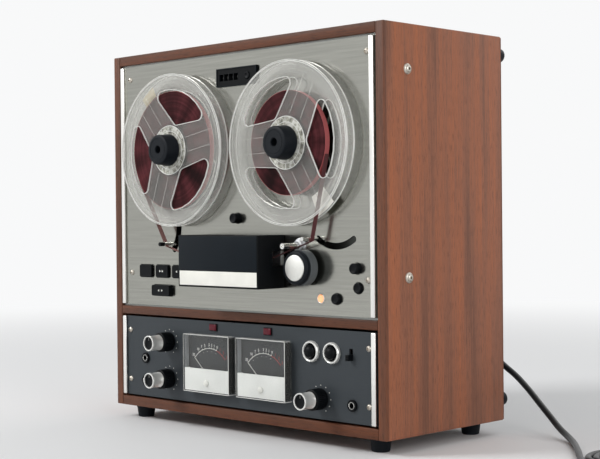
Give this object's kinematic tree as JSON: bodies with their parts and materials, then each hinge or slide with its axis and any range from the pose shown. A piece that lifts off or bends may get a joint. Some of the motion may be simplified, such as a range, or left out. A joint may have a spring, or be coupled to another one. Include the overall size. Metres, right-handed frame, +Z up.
{
  "type": "reel to reel tape deck",
  "caption": "Upright tape deck in a wooden sleeve with clear reels, head cover, level meters, knobs, keys and a mains lead laid in a coil",
  "frame": {"origin": "on the floor under the middle of the deck's box, leaving out the mains lead", "axes": "+Z up, front with the reels towards -Y, +X to the right as seen from the front"},
  "size_m": [0.7276, 0.2997, 0.4455],
  "materials": {
    "wood_side": "open grain satin veneer",
    "wood_rail": "open grain satin veneer",
    "rear_board": "matt black board",
    "deck_aluminium": "fine brushed",
    "slate_paint": "satin",
    "bright_trim": "polished",
    "nickel": "bright",
    "steel": "satin",
    "zinc_sheet": "dull plated",
    "motor_paint": "satin",
    "core_steel": "varnished laminations",
    "board_green": "solder mask",
    "black_plastic": "fine matt",
    "black_gloss": "semi gloss",
    "black_rubber": "matt",
    "clear_plastic": "clear polished",
    "tape": "smooth wound edge",
    "dial": "printed dial",
    "needle_white": "painted",
    "lamp_red": "translucent",
    "cord_black": "smooth jacket"
  },
  "bodies": {
    "case": {"cabinet_sides": "wood_side", "cabinet_cross_boards": "wood_rail", "rear_cover": "rear_board", "deck_plate": "deck_aluminium", "amplifier_panel": "slate_paint", "trim_strips": "bright_trim", "screws": "nickel", "feet": "black_rubber", "head_cover": "black_plastic", "head_block": "steel", "tape_run": "tape", "transport_chassis": "zinc_sheet", "drive_motors": "motor_paint", "power_transformer": "core_steel", "amplifier_board": "board_green", "meter_cases": "dial", "meter_covers": "clear_plastic", "indicator_lamps": "lamp_red", "sockets_and_bezels": "nickel", "counter_case": "black_plastic", "cord_strain_relief": "cord_black", "mains_cord": "cord_black", "mains_cord_coil": "cord_black", "mains_plug": "cord_black", "drive_belt": "black_rubber"},
    "left_reel_unit": {"left_reel": "clear_plastic", "left_tape_pack": "tape", "left_reel_table": "motor_paint", "left_hub_cap": "black_rubber"},
    "right_reel_unit": {"right_reel": "clear_plastic", "right_tape_pack": "tape", "right_reel_table": "motor_paint", "right_hub_cap": "black_rubber"},
    "counter_units": {"counter_units_wheel": "black_plastic"},
    "capstan": {"capstan_flywheel": "steel"},
    "motor_pulley": {"motor_pulley": "steel"},
    "pinch_arm": {"pinch_arm": "steel"},
    "pinch_roller": {"pinch_roller": "black_rubber"},
    "left_tension_arm": {"left_tension_arm": "nickel"},
    "right_tension_arm": {"right_tension_arm": "nickel"},
    "key_1": {"key_1": "black_gloss"},
    "key_2": {"key_2": "black_gloss"},
    "key_3": {"key_3": "black_gloss"},
    "stop_key": {"stop_key": "black_gloss"},
    "counter_reset_button": {"counter_reset_button": "black_gloss"},
    "power_button": {"power_button": "black_gloss"},
    "speed_button": {"speed_button": "black_gloss"},
    "repeat_button": {"repeat_button": "black_gloss"},
    "mode_button": {"mode_button": "black_gloss"},
    "line_knob_front": {"line_knob_front": "nickel"},
    "line_knob_rear": {"line_knob_rear": "black_plastic"},
    "mic_knob_front": {"mic_knob_front": "nickel"},
    "mic_knob_rear": {"mic_knob_rear": "black_plastic"},
    "output_knob_front": {"output_knob_front": "nickel"},
    "output_knob_rear": {"output_knob_rear": "black_plastic"},
    "left_select_button": {"left_select_button": "black_gloss"},
    "right_select_button": {"right_select_button": "black_gloss"},
    "monitor_switch": {"monitor_switch": "black_gloss"},
    "left_meter_needle": {"left_meter_needle": "needle_white"},
    "right_meter_needle": {"right_meter_needle": "needle_white"}
  },
  "joints": [
    {"name": "left_reel_spin", "type": "hinge", "parent": "case", "child": "left_reel_unit", "pos_m": [-0.0966, -0.0965, 0.3255], "axis": [0, -1, 0], "continuous": true},
    {"name": "right_reel_spin", "type": "hinge", "parent": "case", "child": "right_reel_unit", "pos_m": [0.0966, -0.0965, 0.3255], "axis": [0, -1, 0], "continuous": true},
    {"name": "counter_spin", "type": "hinge", "parent": "case", "child": "counter_units", "pos_m": [0.0021, -0.0758, 0.4051], "axis": [1, 0, 0], "continuous": true},
    {"name": "capstan_spin", "type": "hinge", "parent": "case", "child": "capstan", "pos_m": [0.099, -0.0855, 0.2145], "axis": [0, -1, 0], "continuous": true},
    {"name": "pulley_spin", "type": "hinge", "parent": "case", "child": "motor_pulley", "pos_m": [-0.012, -0.0405, 0.2055], "axis": [0, -1, 0], "continuous": true},
    {"name": "pinch_arm_swing", "type": "hinge", "parent": "case", "child": "pinch_arm", "pos_m": [0.0716, -0.0735, 0.1701], "axis": [0, -1, 0], "range_deg": [0, 2.6], "stiffness_Nm_per_rad": 2},
    {"name": "pinch_roller_spin", "type": "hinge", "parent": "pinch_arm", "child": "pinch_roller", "pos_m": [0.1112, -0.0965, 0.1913], "axis": [0, -1, 0], "continuous": true},
    {"name": "left_tension_swing", "type": "hinge", "parent": "case", "child": "left_tension_arm", "pos_m": [-0.1503, -0.0735, 0.2375], "axis": [0, -1, 0], "range_deg": [-6, 22], "stiffness_Nm_per_rad": 0.3, "deforming": ["tape_run"]},
    {"name": "right_tension_swing", "type": "hinge", "parent": "case", "child": "right_tension_arm", "pos_m": [0.152, -0.0735, 0.261], "axis": [0, -1, 0], "range_deg": [0, 66], "stiffness_Nm_per_rad": 0.3, "deforming": ["tape_run"]},
    {"name": "key_1_press", "type": "slide", "parent": "case", "child": "key_1", "axis": [0, 1, 0], "range_m": [0, 0.0025], "stiffness_N_per_m": 400},
    {"name": "key_2_press", "type": "slide", "parent": "case", "child": "key_2", "axis": [0, 1, 0], "range_m": [0, 0.0025], "stiffness_N_per_m": 400},
    {"name": "key_3_press", "type": "slide", "parent": "case", "child": "key_3", "axis": [0, 1, 0], "range_m": [0, 0.0025], "stiffness_N_per_m": 400},
    {"name": "stop_key_press", "type": "slide", "parent": "case", "child": "stop_key", "axis": [0, 1, 0], "range_m": [0, 0.0035], "stiffness_N_per_m": 400},
    {"name": "counter_reset_press", "type": "slide", "parent": "case", "child": "counter_reset_button", "axis": [0, 1, 0], "range_m": [0, 0.002], "stiffness_N_per_m": 300},
    {"name": "power_button_press", "type": "slide", "parent": "case", "child": "power_button", "axis": [0, 1, 0], "range_m": [0, 0.002]},
    {"name": "speed_button_press", "type": "slide", "parent": "case", "child": "speed_button", "axis": [0, 1, 0], "range_m": [-0.003, 0]},
    {"name": "repeat_button_press", "type": "slide", "parent": "case", "child": "repeat_button", "axis": [0, 1, 0], "range_m": [0, 0.0035]},
    {"name": "mode_button_press", "type": "slide", "parent": "case", "child": "mode_button", "axis": [0, 1, 0], "range_m": [0, 0.004]},
    {"name": "line_knob_front_turn", "type": "hinge", "parent": "case", "child": "line_knob_front", "pos_m": [-0.122, -0.1005, 0.0982], "axis": [0, 1, 0], "range_deg": [-150, 150]},
    {"name": "line_knob_rear_turn", "type": "hinge", "parent": "case", "child": "line_knob_rear", "pos_m": [-0.122, -0.1005, 0.0982], "axis": [0, 1, 0], "range_deg": [-150, 150]},
    {"name": "mic_knob_front_turn", "type": "hinge", "parent": "case", "child": "mic_knob_front", "pos_m": [-0.122, -0.1005, 0.0542], "axis": [0, 1, 0], "range_deg": [-150, 150]},
    {"name": "mic_knob_rear_turn", "type": "hinge", "parent": "case", "child": "mic_knob_rear", "pos_m": [-0.122, -0.1005, 0.0542], "axis": [0, 1, 0], "range_deg": [-150, 150]},
    {"name": "output_knob_front_turn", "type": "hinge", "parent": "case", "child": "output_knob_front", "pos_m": [0.128, -0.1005, 0.0515], "axis": [0, 1, 0], "range_deg": [-150, 150]},
    {"name": "output_knob_rear_turn", "type": "hinge", "parent": "case", "child": "output_knob_rear", "pos_m": [0.128, -0.1005, 0.0515], "axis": [0, 1, 0], "range_deg": [-150, 150]},
    {"name": "left_select_button_press", "type": "slide", "parent": "case", "child": "left_select_button", "axis": [0, 1, 0], "range_m": [0, 0.003]},
    {"name": "right_select_button_press", "type": "slide", "parent": "case", "child": "right_select_button", "axis": [0, 1, 0], "range_m": [0, 0.003]},
    {"name": "monitor_switch_slide", "type": "slide", "parent": "case", "child": "monitor_switch", "axis": [0, 0, 1], "range_m": [0, 0.0056]},
    {"name": "left_meter_needle_swing", "type": "hinge", "parent": "case", "child": "left_meter_needle", "pos_m": [-0.0452, -0.089, 0.0605], "axis": [0, 1, 0], "range_deg": [0, 96], "stiffness_Nm_per_rad": 0.0002},
    {"name": "right_meter_needle_swing", "type": "hinge", "parent": "case", "child": "right_meter_needle", "pos_m": [0.0452, -0.089, 0.0605], "axis": [0, 1, 0], "range_deg": [0, 96], "stiffness_Nm_per_rad": 0.0002}
  ],
  "couplings": [
    {"joint": "right_reel_spin", "follows": "left_reel_spin", "ratio": 1.2212},
    {"joint": "counter_spin", "follows": "left_reel_spin", "ratio": 0.1},
    {"joint": "pulley_spin", "follows": "capstan_spin", "ratio": 3.6667}
  ]
}
